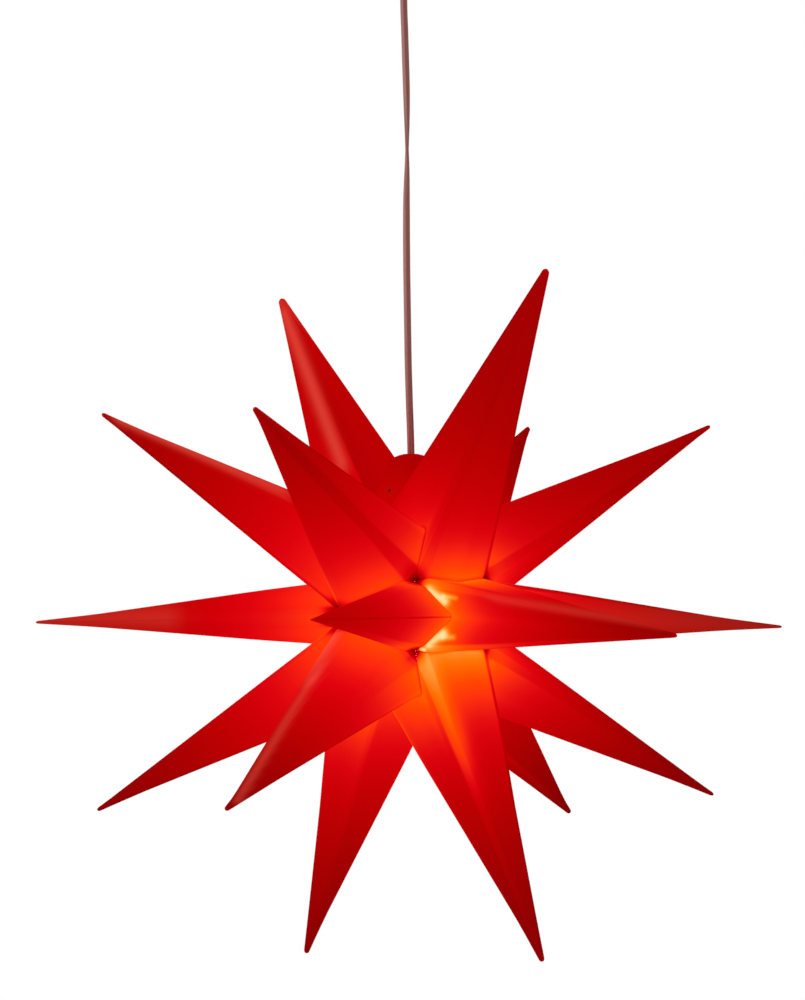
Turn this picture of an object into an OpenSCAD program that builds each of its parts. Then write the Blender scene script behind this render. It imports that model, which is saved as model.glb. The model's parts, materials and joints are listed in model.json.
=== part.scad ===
// Eighteen-pointed hanging star lamp. Millimetres, +Z up, origin in the ceiling plane above the lamp.
// The front is -Y. A direction on the star is an azimuth from the front, positive to the right, and an
// elevation above the star's middle plane.

/* [Star] */
// Distance from the star's centre to the end of each point
tip_reach = 286; // [240:1:330]
// Distance from the ceiling down to the star's centre
drop = 545; // [545:5:600]
// How far the set of the cord holds the star to the right of its ceiling fitting
star_x = 5.5; // [5.2:0.1:5.8]
// Wall of a moulded point
wall = 1.4; // [1:0.1:2]
// Depth of the flange that turns in from the seat of a point
flange = 9; // [7:0.5:11]
// Gap in the seam between the flanges of two neighbouring points
seam = 0.2; // [0.1:0.05:0.4]
// Length cut from each side of a corner, which makes the flat band along a point
band = 6; // [3:0.5:7]
// The same at the small corners by the poles and at the narrow seams
small_band = 2.6; // [1:0.2:3.4]
// Radius of the blunt end of a point
tip_r = 2.4; // [1.5:0.1:4]

/* [Seats of the points] */
// Azimuth of the first tall seam
seam_a = 3; // [0:0.5:6]
// Azimuth of the second tall seam
seam_b = 62; // [58:0.5:66]
// Azimuth of the narrow seam
seam_c = 131; // [127:0.5:135]
// Distance from the axis to the corners of the tall seams
tall_r = 71; // [68:0.5:74]
// Height of the corners of the tall seams above the middle plane
tall_z = 30; // [26:0.5:34]
// The side tall seams' corners stand this far from the axis
side_r = 69; // [67:0.5:72]
// The tall seams' lower corners are this far below the centre at the front and back
tall_low_z = 28; // [25:0.5:31]
// The side tall seams' lower corners are this far below the centre
side_low_z = 23.5; // [21:0.5:27]
// Distance from the axis to the corners of the narrow seams
narrow_r = 76; // [73:0.5:79]
// Height of the corners of the narrow seams above the middle plane
narrow_z = 6; // [5:0.5:8]
// Angle by which the middle of a tall seam is swept round
seam_sweep = 20; // [8:0.5:22]
// Distance from the axis to the middle of a tall seam
seam_mid_r = 80; // [77:0.5:83]
// Distance from the axis to the corners by the top pole
top_corner_r = 32; // [31:0.5:34]
// Height of the corners by the top pole above the middle plane
top_corner_z = 70; // [67:0.5:73]
// Distance from the axis to the corners by the bottom pole
low_corner_r = 30; // [27:0.5:33]
// Depth of the corners by the bottom pole below the middle plane
low_corner_z = 61; // [58:0.5:64]
// Radius of the round mouth in the top of the star
mouth_r = 29; // [28.5:0.1:29.5]
// Height of the edge of that mouth above the middle plane
mouth_z = 76; // [75:0.5:78]

/* [Clips] */
// Length of a spring clip along the seam
clip_l = 12; // [6:1:14]
// Thickness of the metal of a spring clip
clip_t = 0.8; // [0.5:0.1:1.2]
// How far a spring clip reaches up the flanges
clip_h = 6; // [4:0.5:6.5]

/* [Collar and lamp carrier] */
// Outer radius of the top collar
collar_r = 24.6; // [24:0.1:24.7]
// Wall of the top collar
collar_wall = 2.4; // [2:0.1:2.6]
// Height of the collar's top edge above the star's centre
collar_top = 86; // [85:0.5:87]
// Height of the collar itself
collar_h = 22; // [21:0.5:24]
// Thickness of the carrier disc
disc_t = 2.4; // [2:0.1:3]
// Radius of the threaded nipple
nipple_r = 5; // [4.9:0.1:5.2]
// Length of the threaded nipple
nipple_l = 25; // [24:0.5:26]
// Outer radius of the upstand on the carrier disc
upstand_r = 17.2; // [16.5:0.1:17.4]
// Height of the upstand on the carrier disc
upstand_h = 11; // [9:0.5:12]
// Radial gap between a screw or nipple and its hole
hole_gap = 0.1; // [0.05:0.05:0.2]

/* [Top cap] */
// Outer radius of the domed cap at its lower edge
cap_r = 26.2; // [26.2:0.1:26.6]
// Wall of the cap
cap_wall = 1.2; // [1:0.1:1.2]
// Height of the top of the cap above the star's centre
cap_top = 123; // [122:0.5:125]
// Height of the lower edge of the cap above the star's centre
cap_low = 80.5; // [80:0.5:82]
// Radius of the cord hole in the cap
cap_hole_r = 4.7; // [4.6:0.1:5]
// Distance from the axis to the edge between the cap's flank and its crown
crown_r = 15; // [14:0.5:16]
// Azimuth of the cap's screw
cap_screw_az = -39; // [-60:1:60]
// Height of the cap's screw above the star's centre
cap_screw_z = 95; // [94:0.5:96]

/* [Lampholder] */
// Outer radius of the lampholder's shell
holder_r = 14.2; // [13.8:0.1:14.8]
// Wall of the lampholder's shell
holder_wall = 2; // [1.6:0.1:2.2]
// Height of the shell's lower edge above the star's centre
holder_low = 34; // [32:0.5:36]
// Outer radius of the lamp's screw base
base_r = 6.9; // [6.8:0.05:7]
// Radial gap between the lamp's base and the thread sleeve
base_gap = 0.1; // [0.05:0.05:0.1]
// Wall of the thread sleeve
sleeve_wall = 1.1; // [0.8:0.1:1.2]

/* [Lamp] */
// Largest radius of the candle lamp's glass
glass_r = 17.5; // [15:0.5:17.5]
// Length of the glass below its neck
glass_l = 81; // [72:1:84]
// Wall of the glass
glass_wall = 0.9; // [0.6:0.1:1.2]
// Length of a light filament
filament_l = 34; // [26:1:36]
// Radius of a light filament
filament_r = 0.9; // [0.7:0.1:1.2]
// Distance of the filaments from the lamp's axis
filament_at = 5; // [4:0.5:6]

/* [Cord] */
// Width of the flat twin cord
cord_w = 5.4; // [4.8:0.1:5.6]
// Thickness of the flat twin cord
cord_t = 2.7; // [2.3:0.1:2.9]

/* [Ceiling fitting] */
// Outer radius of the ceiling cup
cup_r = 45; // [42:1:52]
// Height of the ceiling cup
cup_h = 60; // [58:0.5:61]
// Wall of the ceiling cup
cup_wall = 1.8; // [1.4:0.1:2.4]
// Radius of the cord hole in the cup's sleeve
cup_hole_r = 4.4; // [4.2:0.1:4.6]
// Length of the cup's sleeve below the cup
sleeve_l = 9; // [8:0.5:11]
// Length of the steel strap
strap_l = 76; // [74:1:78]
// Width of the steel strap
strap_w = 20; // [16:1:24]
// Thickness of the steel strap
strap_t = 2; // [1.5:0.1:2.5]
// Distance between the strap's two screw holes
strap_pitch = 60; // [56:1:62]
// Radius of the strap's screw holes
strap_hole_r = 2.25; // [2:0.05:2.75]
// Radius of the hook's wire
hook_wire = 2; // [1.6:0.1:2.1]
// Radius of the hook's bend, to the middle of the wire
hook_bend = 6; // [5.8:0.1:6.4]

/* [Hidden] */

$fn = 64;
star_red = "#d3100f";
cord_red = "#8c4a48";
steel = "#c9ccd0";
brass = "#c7a24a";
white_plastic = "#ece9e2";
black_plastic = "#2c2a2b";
porcelain = "#e9e6dd";
clear_glass = "#f4efe2";

// Small extra depth that keeps a cut clean
e = 0.01;
// Gap between a piece and the seat that it rests on
rest = 0.3;

function at(az, r, z) = [r * sin(az), -r * cos(az), z];
function unit(v) = v / norm(v);
function mean(points, i = 0) = i == len(points) ? [0, 0, 0] : points[i] / len(points) + mean(points, i + 1);

module at_star(h = 0) translate([star_x, 0, h - drop]) children();

// A tube by its two radii, its lower end and its length
module tube(r_out, r_in, z, h) {
    translate([0, 0, z]) difference() {
        cylinder(r = r_out, h = h);
        translate([0, 0, -e]) cylinder(r = r_in, h = h + 2 * e);
    }
}

// Directions of the ends of the points, as azimuth and elevation. Point 1 stands between seams 0 and 1,
// and the rest follow to the right.
middle_aim = [[41.6, -2.7], [99, -1.5], [166, 0], [223, 0], [283, -0.8], [346, -0.4]];
upper_aim = [[55.2, 64.6], [110.3, 30.9], [157.4, 31.7], [223.6, 59.4], [289.9, 31.7], [332.5, 31.6]];
lower_aim = [[47.5, -62.6], [112, -28.6], [148.6, -32.7], [221.2, -64.6], [291, -29.9],
    [328, -28.9]];

// Seams 0, 1, 3 and 4 between middle points are tall, seams 2 and 5 are narrow
seam_az = [seam_a, seam_b, seam_c, seam_a + 180, seam_b + 180, seam_c + 180];
function narrow(k) = k % 3 == 2;
function corner_r(k) = narrow(k) ? narrow_r : k % 3 == 0 ? tall_r : side_r;
function corner_low_z(k) = narrow(k) ? narrow_z : k % 3 == 0 ? tall_low_z : side_low_z;
function corner(k) = at(seam_az[k], corner_r(k), narrow(k) ? narrow_z : tall_z);
function corner_below(k) = at(seam_az[k], corner_r(k), -corner_low_z(k));
function seam_middle(k) = at(seam_az[k] + seam_sweep, seam_mid_r, 0);
function top_corner(k) = at(seam_az[k], top_corner_r, top_corner_z);
function low_corner(k) = at(seam_az[k], low_corner_r, -low_corner_z);

// Bends in the seams between a steep point and its low neighbours, as azimuth from the tall seam,
// distance from the axis and height
left_bend = [12, 46, 66];
right_bend = [18, 50, 56];
left_low_bend = [8, 45, -58];
right_low_bend = [18, 50, -51];
function bent(k, b) = at(seam_az[k] + b[0], b[1], b[2]);
function bend_up(k) = bent(k, k % 3 == 0 ? left_bend : right_bend);
function bend_down(k) = bent(k, k % 3 == 0 ? left_low_bend : right_low_bend);

// The sagging middle of the seam between a steep point and the middle point beside it
sill_r = 66;
sill_z = 26;
sill_low_z = 23.5;
function sill(k, z = sill_z) = at((seam_az[k] + seam_az[k + 1]) / 2, sill_r, z);

// The round mouth in the top is shared by the two steep upper points
mouth_steps = 8;
function mouth(k) = [for (i = [0.5:mouth_steps]) at(seam_az[k] - i * 180 / mouth_steps, mouth_r, mouth_z)];

// A seat is its corners in turn, seen from outside against the clock, each as [place, cut]
function cut(k) = narrow(k) ? small_band : band;
function big(k) = [corner(k), cut(k)];
function big_low(k) = [corner_below(k), cut(k)];
function small(p) = [p, small_band];
function sharp(p) = [p, 0];

function middle_seat(i) = let (j = (i + 1) % 6) [
    big_low(i),
    if (i % 3 == 0) sharp(sill(i, -sill_low_z)),
    big_low(j),
    if (!narrow(j)) sharp(seam_middle(j)),
    big(j),
    if (i % 3 == 0) sharp(sill(i)),
    big(i),
    if (!narrow(i)) sharp(seam_middle(i))
];

function upper_seat(i) = let (j = (i + 1) % 6)
    i % 3 == 0 ? [
        big(i), sharp(sill(i)), big(j), sharp(bend_up(j)), small(top_corner((i + 2) % 6)),
        for (p = mouth((i + 2) % 6)) sharp(p),
        small(top_corner((i + 5) % 6)), sharp(bend_up(i))
    ] : i % 3 == 1 ? [big(i), big(j), small(top_corner(j)), sharp(bend_up(i))]
    : [big(i), big(j), sharp(bend_up(j)), small(top_corner(i))];

function lower_seat(i) = let (j = (i + 1) % 6)
    i % 3 == 0 ? [
        sharp(bend_down(i)), small(low_corner((i + 5) % 6)), small(low_corner((i + 2) % 6)),
        sharp(bend_down(j)), big_low(j), sharp(sill(i, -sill_low_z)), big_low(i)
    ] : i % 3 == 1 ? [sharp(bend_down(i)), small(low_corner(j)), big_low(j), big_low(i)]
    : [small(low_corner(i)), sharp(bend_down(j)), big_low(j), big_low(i)];

// Moves each corner into the seat by d, square to the seam planes, which all pass through the centre
function inset(points, d) = let (n = len(points)) [
    for (i = [0:n - 1])
        let (
            p = points[i],
            before = unit(cross(points[(i + n - 1) % n], p)),
            after = unit(cross(p, points[(i + 1) % n]))
        ) p + d * (before + after) / (1 + before * after)
];

// The part of an edge that a cut corner may take
most_cut = 0.3;
// At the seat the bands are this many times as wide, which opens the pits, and they run down to their
// own width where the point has shrunk to flare_end of its seat
flare = 1.6;
flare_end = 0.77;
function flared(s) = 1 + (flare - 1) * max(0, s - flare_end) / (1 - flare_end);

// The outline of a point where it has shrunk to s times its seat, with its corners cut to keep the band
function outline(points, cuts, s) = let (n = len(points)) [
    for (i = [0:n - 1])
        let (
            p = points[i],
            back = points[(i + n - 1) % n] - p,
            ahead = points[(i + 1) % n] - p,
            c = cuts[i] * flared(s) / s
        ) each (cuts[i] == 0 ? [p] : [
            p + unit(back) * min(c, most_cut * norm(back)),
            p + unit(ahead) * min(c, most_cut * norm(ahead))
        ])
];
function shrunk(points, s, from, to) = [for (p = points) to + s * (p - from)];
function sunk(points, d) = [for (p = points) p - d * unit(p)];

// Places along a point where its outline is drawn, as parts of its length
stations = [0, 0.25, 0.5, 0.75, 1];
// Angles of the rings of a point's blunt end
end_rings = [30, 60];
// The flange's edge is sharp cornered, so that four flanges close the pit between four bands
edge_cut = 0.25;

// The surface of a point from the edge of its flange to its end, as rings and an end place
function skin_rings(points, cuts, end, end_r) = let (
    from = mean(points),
    way = unit(end - from),
    stop = end - way * end_r,
    s_end = end_r / mean([for (p = points) [norm(p - from), 0, 0]])[0],
    small_cuts = [for (c = cuts) c == 0 ? 0 : edge_cut],
    last = outline(points, cuts, s_end)
) [
    sunk(outline(points, small_cuts, 1), flange),
    for (t = stations)
        let (s = 1 - t * (1 - s_end))
            shrunk(outline(points, cuts, s), s, from, from + t * (stop - from)),
    for (a = end_rings)
        shrunk(last, s_end * cos(a), from, stop + way * end_r * sin(a))
];

// Faces between ring a and ring b of n places each, from the outside or turned round
function wall_faces(n, a, b, turned = false) = [
    for (i = [0:n - 1])
        let (j = (i + 1) % n, p = a * n + i, q = a * n + j, u = b * n + i, v = b * n + j)
            each (turned ? [[p, v, u], [p, q, v]] : [[p, u, v], [p, v, q]])
];

// A tube that runs downwards through rings of n places each
module drop_tube(places, n) {
    m = len(places) / n;
    polyhedron(
        points = places,
        faces = [
            for (k = [0:m - 2]) each wall_faces(n, k, k + 1, true),
            [for (i = [n - 1:-1:0]) i],
            [for (i = [0:n - 1]) (m - 1) * n + i]
        ],
        convexity = 4
    );
}

// A hollow moulded point on its seat, aimed at an azimuth and elevation
module point(seat, direction) {
    places = [for (c = seat) c[0]];
    cuts = [for (c = seat) c[1]];
    end = at(direction[0], tip_reach * cos(direction[1]), tip_reach * sin(direction[1]));
    outer_seat = inset(places, seam / 2);
    inner_seat = inset(places, seam / 2 + wall);
    // The hollow ends this much short of the point's end, so that the wall stays even
    hollow_back = wall * 6;
    hollow_r = 0.6;
    outer = skin_rings(outer_seat, cuts, end, tip_r);
    inner = skin_rings(inner_seat, cuts, end - unit(end - mean(places)) * hollow_back, hollow_r);
    n = len(outer[0]);
    m = len(outer);
    rings = concat(outer, inner);
    end_out = 2 * m * n;
    end_in = end_out + 1;
    color(star_red) at_star() polyhedron(
        points = [
            for (r = rings) each r,
            end,
            end - unit(end - mean(places)) * hollow_back
        ],
        faces = [
            for (k = [0:m - 2]) each wall_faces(n, k, k + 1),
            for (k = [m:2 * m - 2]) each wall_faces(n, k, k + 1, true),
            each wall_faces(n, 0, m, true),
            for (i = [0:n - 1]) [(m - 1) * n + i, end_out, (m - 1) * n + (i + 1) % n],
            for (i = [0:n - 1]) [(2 * m - 1) * n + (i + 1) % n, end_in, (2 * m - 1) * n + i]
        ],
        convexity = 4
    );
}

module middle_point(i) point(middle_seat(i), middle_aim[i]);
module upper_point(i) point(upper_seat(i), upper_aim[i]);
module lower_point(i) point(lower_seat(i), lower_aim[i]);

// The seams that carry a clip, each as its two ends
clipped_seams = [
    for (k = [0, 1, 3, 4]) each [
        [corner(k), seam_middle(k)], [seam_middle(k), corner_below(k)],
        [corner(k), bend_up(k)], [corner_below(k), bend_down(k)]
    ],
    for (k = [1, 2, 4, 5]) each [
        [corner(k), corner((k + 1) % 6)], [corner_below(k), corner_below((k + 1) % 6)]
    ],
    for (k = [0, 3]) each [
        [corner(k), sill(k)], [sill(k), corner(k + 1)],
        [corner_below(k), sill(k, -sill_low_z)], [sill(k, -sill_low_z), corner_below(k + 1)]
    ],
    for (k = [2, 5]) each [[corner(k), top_corner(k)], [corner_below(k), low_corner(k)]],
    [low_corner(2), low_corner(5)]
];

// A spring clip bent over the edges of two flanges, half way along a seam
module seam_clip(a, b) {
    low_a = a - flange * unit(a);
    low_b = b - flange * unit(b);
    along = unit(low_b - low_a);
    across = unit(cross(a, b));
    up = cross(along, across) * sign(cross(along, across) * a);
    side = cross(up, along);
    middle = (low_a + low_b) / 2;
    slot = seam / 2 + wall + hole_gap;
    multmatrix([for (i = [0:2]) [along[i], side[i], up[i], middle[i]]])
        translate([-clip_l / 2, 0, -rest - clip_t]) difference() {
            translate([0, -slot - clip_t, 0]) cube([clip_l, 2 * (slot + clip_t), clip_h + rest + clip_t]);
            translate([-e, -slot, clip_t]) cube([clip_l + 2 * e, 2 * slot, clip_h + rest + e]);
        }
}

module seam_clips() {
    color(steel) at_star() for (s = clipped_seams) seam_clip(s[0], s[1]);
}

// The mouth's flange ends here at its inner face, and the collar's tabs reach under it
mouth_reach = norm([mouth_r, mouth_z]);
mouth_edge_z = mouth_z * (1 - flange / mouth_reach) - (wall + seam / 2) * mouth_r / mouth_reach;
tab_t = 2.2;
tab_w = 10;
tab_r = 31;
tab_az = [20, 60, 100, 200, 240, 280];
// Carrier screws
boss_at = 20.3;
boss_r = 2.6;
boss_h = 10;
// The bosses stop short of the collar's top, so that the disc sits on the collar alone
boss_drop = 0.4;
carrier_screw_r = 1.2;
carrier_screw_l = 9;
boss_az = [30, 150, 270];
carrier_z = collar_top + disc_t;

module top_collar() {
    color(star_red) at_star() difference() {
        union() {
            tube(collar_r, collar_r - collar_wall, collar_top - collar_h, collar_h);
            for (a = tab_az) rotate([0, 0, a])
                translate([-tab_w / 2, -tab_r, mouth_edge_z - rest - tab_t])
                    cube([tab_w, tab_r - collar_r + collar_wall / 2, tab_t]);
            for (a = boss_az) rotate([0, 0, a])
                translate([0, -boss_at, collar_top - boss_h - boss_drop])
                    cylinder(r = boss_r, h = boss_h);
        }
        for (a = boss_az) rotate([0, 0, a])
            translate([0, -boss_at, collar_top - carrier_screw_l])
                cylinder(r = carrier_screw_r + hole_gap, h = carrier_screw_l + e);
    }
}

upstand_wall = 1.8;
vent_at = 12;
vent_r = 2;

module lamp_carrier() {
    color(white_plastic) at_star() difference() {
        union() {
            translate([0, 0, collar_top]) cylinder(r = collar_r, h = disc_t);
            tube(upstand_r, upstand_r - upstand_wall, carrier_z - e, upstand_h);
        }
        translate([0, 0, collar_top - e]) cylinder(r = nipple_r + hole_gap, h = disc_t + 2 * e);
        for (a = boss_az) rotate([0, 0, a]) {
            translate([0, -boss_at, collar_top - e])
                cylinder(r = carrier_screw_r + hole_gap, h = disc_t + 2 * e);
            translate([0, -vent_at, collar_top - e]) cylinder(r = vent_r, h = disc_t + 2 * e);
        }
    }
}

module carrier_screws() {
    head_r = 2.3;
    head_h = 1.4;
    slot_w = 0.6;
    color(steel) at_star(carrier_z) for (a = boss_az) rotate([0, 0, a]) translate([0, -boss_at, 0])
        difference() {
            union() {
                cylinder(r = head_r, h = head_h);
                translate([0, 0, 1 - carrier_screw_l]) cylinder(r = carrier_screw_r, h = carrier_screw_l);
            }
            for (t = [0, 90]) rotate([0, 0, t])
                translate([-head_r * 0.7, -slot_w / 2, head_h - 0.7]) cube([head_r * 1.4, slot_w, 1]);
        }
}

// The nipple passes the carrier disc, with the lampholder below and the cord grip above
nipple_low = 79;
nipple_top = nipple_low + nipple_l;
nut_h = 3;
nut_af = 14;
wire_hole_r = 3.6;

module nipple() {
    color(steel) at_star() tube(nipple_r, wire_hole_r, nipple_low, nipple_l);
}

module nipple_nut() {
    color(steel) at_star(carrier_z) difference() {
        cylinder(r = nut_af / sqrt(3), h = nut_h, $fn = 6);
        translate([0, 0, -e]) cylinder(r = nipple_r + hole_gap, h = nut_h + 2 * e);
    }
}

grip_r = 7.6;
grip_low = nipple_top - 7;
grip_top = nipple_top + 6;
grip_screw_r = 1.3;
grip_screw_z = nipple_top + 3;

module cord_grip() {
    color(white_plastic) at_star() difference() {
        translate([0, 0, grip_low]) cylinder(r = grip_r, h = grip_top - grip_low);
        translate([0, 0, grip_low - e]) cylinder(r = nipple_r + hole_gap, h = nipple_top - grip_low + rest);
        translate([-cord_w / 2 - rest, -cord_t / 2 - rest, nipple_top])
            cube([cord_w + 2 * rest, cord_t + 2 * rest, grip_top - nipple_top + 1]);
        for (a = [0, 180]) rotate([0, 0, a]) translate([0, 0, grip_screw_z]) rotate([90, 0, 0])
            cylinder(r = grip_screw_r + hole_gap, h = grip_r + 1);
    }
}

module grip_screws() {
    from = cord_t / 2 + rest;
    color(steel) at_star(grip_screw_z) for (a = [0, 180]) rotate([0, 0, a])
        translate([0, -from, 0]) rotate([90, 0, 0]) difference() {
            cylinder(r = grip_screw_r, h = grip_r - from);
            translate([-grip_screw_r, -0.3, grip_r - from - 0.6]) cube([2 * grip_screw_r, 0.6, 1]);
        }
}

// The cap's shape from its wall up a sloping flank to its low crown, as distance from the axis and height
function cap_shape(inwards) = [
    for (p = [
        [cap_r, cap_top - 30], [cap_r - 0.6, cap_top - 27], [crown_r + 0.9, cap_top - 5.6],
        [crown_r - 0.6, cap_top - 3.8], [crown_r - 2.8, cap_top - 2.3], [crown_r - 6, cap_top - 1]
    ]) p - [inwards, inwards],
    [cap_hole_r, cap_top - inwards], [0, cap_top - inwards]
];
// The cap's inner ledge stops on the edge of the carrier disc
ledge_z = carrier_z + rest;
ledge_h = 1.4;
ledge_r = 23.2;
cap_screw_r = 1.5;
cap_screw_l = 8;
cap_screw_tip = upstand_r + rest;
cap_boss_r = 3;
cap_boss_end = 19.4;

module top_cap() {
    inner = cap_r - cap_wall;
    screw_way = [90, 0, cap_screw_az];
    color(star_red) at_star() difference() {
        union() {
            rotate_extrude() difference() {
                polygon(concat([[0, cap_low], [cap_r, cap_low]], cap_shape(0)));
                polygon(concat([[0, cap_low - 1], [inner, cap_low - 1]], cap_shape(cap_wall)));
                translate([0, cap_top - 4]) square([cap_hole_r, 8]);
            }
            tube(inner + e, ledge_r, ledge_z, ledge_h);
            translate([0, 0, cap_screw_z]) rotate(screw_way) translate([0, 0, cap_boss_end])
                cylinder(r = cap_boss_r, h = inner - cap_boss_end);
        }
        translate([0, 0, cap_screw_z]) rotate(screw_way)
            cylinder(r = cap_screw_r + hole_gap, h = cap_r + 1);
    }
}

module cap_screw() {
    color(black_plastic) at_star(cap_screw_z) rotate([90, 0, cap_screw_az])
        translate([0, 0, cap_screw_tip]) difference() {
            cylinder(r = cap_screw_r, h = cap_screw_l);
            translate([0, 0, cap_screw_l - 1]) cylinder(r = 0.8, h = 2, $fn = 6);
        }
}

// Levels of the lampholder, as heights above the star's centre
holder_split = 64;
spigot_low = 58.3;
insert_low = 52;
insert_h = 5.5;
ledge_t = 1.5;
spigot_gap = 0.2;
neck_r = 8.5;
holder_in = holder_r - holder_wall;

module holder_cap() {
    spigot_r = holder_in - spigot_gap;
    skin = 1.8;
    color(black_plastic) at_star() rotate_extrude() polygon([
        [nipple_r + hole_gap, collar_top],
        [neck_r, collar_top],
        [neck_r, collar_top - 6],
        [neck_r + 1.2, collar_top - 9],
        [holder_r - 1, collar_top - 12],
        [holder_r, collar_top - 14],
        [holder_r, holder_split],
        [spigot_r, holder_split],
        [spigot_r, spigot_low],
        [spigot_r - skin, spigot_low],
        [spigot_r - skin, collar_top - 14],
        [neck_r - skin, nipple_low - 1],
        [nipple_r + hole_gap, nipple_low - 1]
    ]);
}

module holder_shell() {
    rib_count = 24;
    color(black_plastic) at_star() difference() {
        union() {
            tube(holder_r, holder_in, holder_low, holder_split - holder_low);
            tube(holder_in + e, 9.6, insert_low - ledge_t, ledge_t);
        }
        // Grip flutes round the lower half
        for (i = [0:rib_count - 1]) rotate([0, 0, i * 360 / rib_count])
            translate([holder_r + 0.5, 0, holder_low + 3]) cylinder(r = 0.9, h = 12, $fn = 16);
    }
}

terminal_at = 6;
module holder_insert() {
    insert_r = holder_in - 0.5;
    color(porcelain) at_star(insert_low) difference() {
        union() {
            cylinder(r = insert_r, h = insert_h - 1.5);
            translate([-terminal_at - 3, -3.4, 0]) cube([2 * terminal_at + 6, 6.8, insert_h]);
        }
        for (x = [-terminal_at, terminal_at]) translate([x, 0, 1.5]) cylinder(r = 1.3, h = insert_h);
    }
}

sleeve_in = base_r + base_gap;
sleeve_low = 36;
module thread_sleeve() {
    color(brass) at_star() tube(sleeve_in + sleeve_wall, sleeve_in, sleeve_low, insert_low - sleeve_low);
}

module centre_contact() {
    color(brass) at_star(insert_low - 1) cylinder(r = 2.6, h = 1);
}

module side_contact() {
    color(brass) at_star(insert_low) translate([sleeve_in + sleeve_wall + 0.1, -2, -9]) cube([0.8, 4, 9]);
}

module terminal_screws() {
    head_h = 1.4;
    color(brass) at_star(insert_low + insert_h) for (x = [-terminal_at, terminal_at]) translate([x, 0, 0])
        difference() {
            union() {
                cylinder(r = 2.2, h = head_h);
                translate([0, 0, -3.5]) cylinder(r = 1.2, h = 4);
            }
            translate([-2, -0.3, head_h - 0.6]) cube([4, 0.6, 1]);
        }
}

// Two insulated wires run down the nipple and splay out to the terminals, as x and height
module inner_wires() {
    wire_r = 0.9;
    run = [[1.7, nipple_top - 1], [1.7, nipple_low], [3.2, 72], [5, 66],
        [terminal_at, insert_low + insert_h + 1.6]];
    ring = [for (i = [0:7]) wire_r * [cos(i * 45), sin(i * 45)]];
    for (m = [0, 180]) color(cord_red) at_star() rotate([0, 0, m])
        drop_tube([for (p = run) for (c = ring) [p[0] + c[0], c[1], p[1]]], 8);
}

// Levels of the lamp
base_low = 31;
base_top = 48.5;
thread_pitch = 2.82;
thread_depth = 0.4;
neck_in = 5.7;
neck_len = 12;

module lamp_base() {
    turns = 5;
    steps = turns * 8;
    function thread_r(i) = base_r - thread_depth / 2 * (1 - cos(i * 45));
    color(steel) at_star() rotate_extrude() polygon(concat(
        [[neck_in + 0.2, base_low], [base_r, base_low]],
        [for (i = [0:steps]) [thread_r(i), base_top - 1 - thread_pitch * turns + i * thread_pitch / 8]],
        [[base_r - 0.8, base_top], [0, base_top], [0, base_top - 1.5], [neck_in + 0.2, base_top - 1.5]]
    ));
}

module lamp_insulator() {
    color(black_plastic) at_star(base_top) cylinder(r1 = base_r - 1.2, r2 = 2.8, h = 1.4);
}

module lamp_end_contact() {
    color(steel) at_star(base_top + 1.4) cylinder(r = 2.3, h = 0.8);
}

// The candle glass by a formula: t runs from the neck at 0 to the end at 1, and it is widest where the
// sine is full
candle_lean = 0.72;
candle_power = 0.85;
widest_t = pow(0.5, 1 / candle_lean);
function swell(t) = pow(max(0, sin(180 * pow(t, candle_lean))), candle_power);
function glass_at(t) = [
    t < widest_t ? neck_in + (glass_r - neck_in) * swell(t) : glass_r * swell(t),
    base_low - glass_l * t
];
glass_steps = 24;
module lamp_glass() {
    ts = [for (i = [0:glass_steps - 1]) i / glass_steps];
    color(clear_glass, 0.4) at_star() rotate_extrude() polygon(concat(
        [[neck_in - glass_wall, base_low + neck_len], [neck_in, base_low + neck_len]],
        [for (t = ts) glass_at(t)],
        [[0, base_low - glass_l], [0, base_low - glass_l + 2.6]],
        [for (i = [glass_steps - 2:-1:0]) let (g = glass_at(ts[i])) [g[0] - glass_wall, g[1]]]
    ));
}

filament_mid = -6;
arm_r = 0.35;
module lamp_stem() {
    top = filament_mid + filament_l / 2 + arm_r;
    bottom = filament_mid - filament_l / 2 - arm_r;
    color(clear_glass) at_star() {
        rotate_extrude() polygon([
            [0, base_low + neck_len], [4.5, base_low + neck_len], [4.5, base_low + neck_len - 2],
            [2.2, base_low], [1.8, top + 3], [0, top + 2]
        ]);
        translate([0, 0, bottom - arm_r]) cylinder(r = 0.5, h = top - bottom + 4, $fn = 24);
        for (z = [top, bottom]) for (a = [0:90:270]) translate([0, 0, z]) rotate([90, 0, a + 45])
            cylinder(r = arm_r, h = filament_at + filament_r, $fn = 16);
    }
}

module lamp_filaments() {
    color("#ffd27a") at_star(filament_mid - filament_l / 2) for (a = [0:90:270]) rotate([0, 0, a + 45])
        translate([0, -filament_at, 0]) cylinder(r = filament_r, h = filament_l, $fn = 24);
}

// Levels of the ceiling fitting, below the ceiling
hook_z = -20;
eye_wire = 1.8;
eye_r = 5.5;
eye_z = hook_z - hook_bend + hook_wire + eye_wire + rest / 2 - eye_r;
hanger_top = eye_z - eye_r;
hanger_low = -50;
hanger_w = 15;
hanger_back = 5;
clamp_t = 4;
hanger_screw_x = 5.4;
hanger_screw_r = 1.2;

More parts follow.
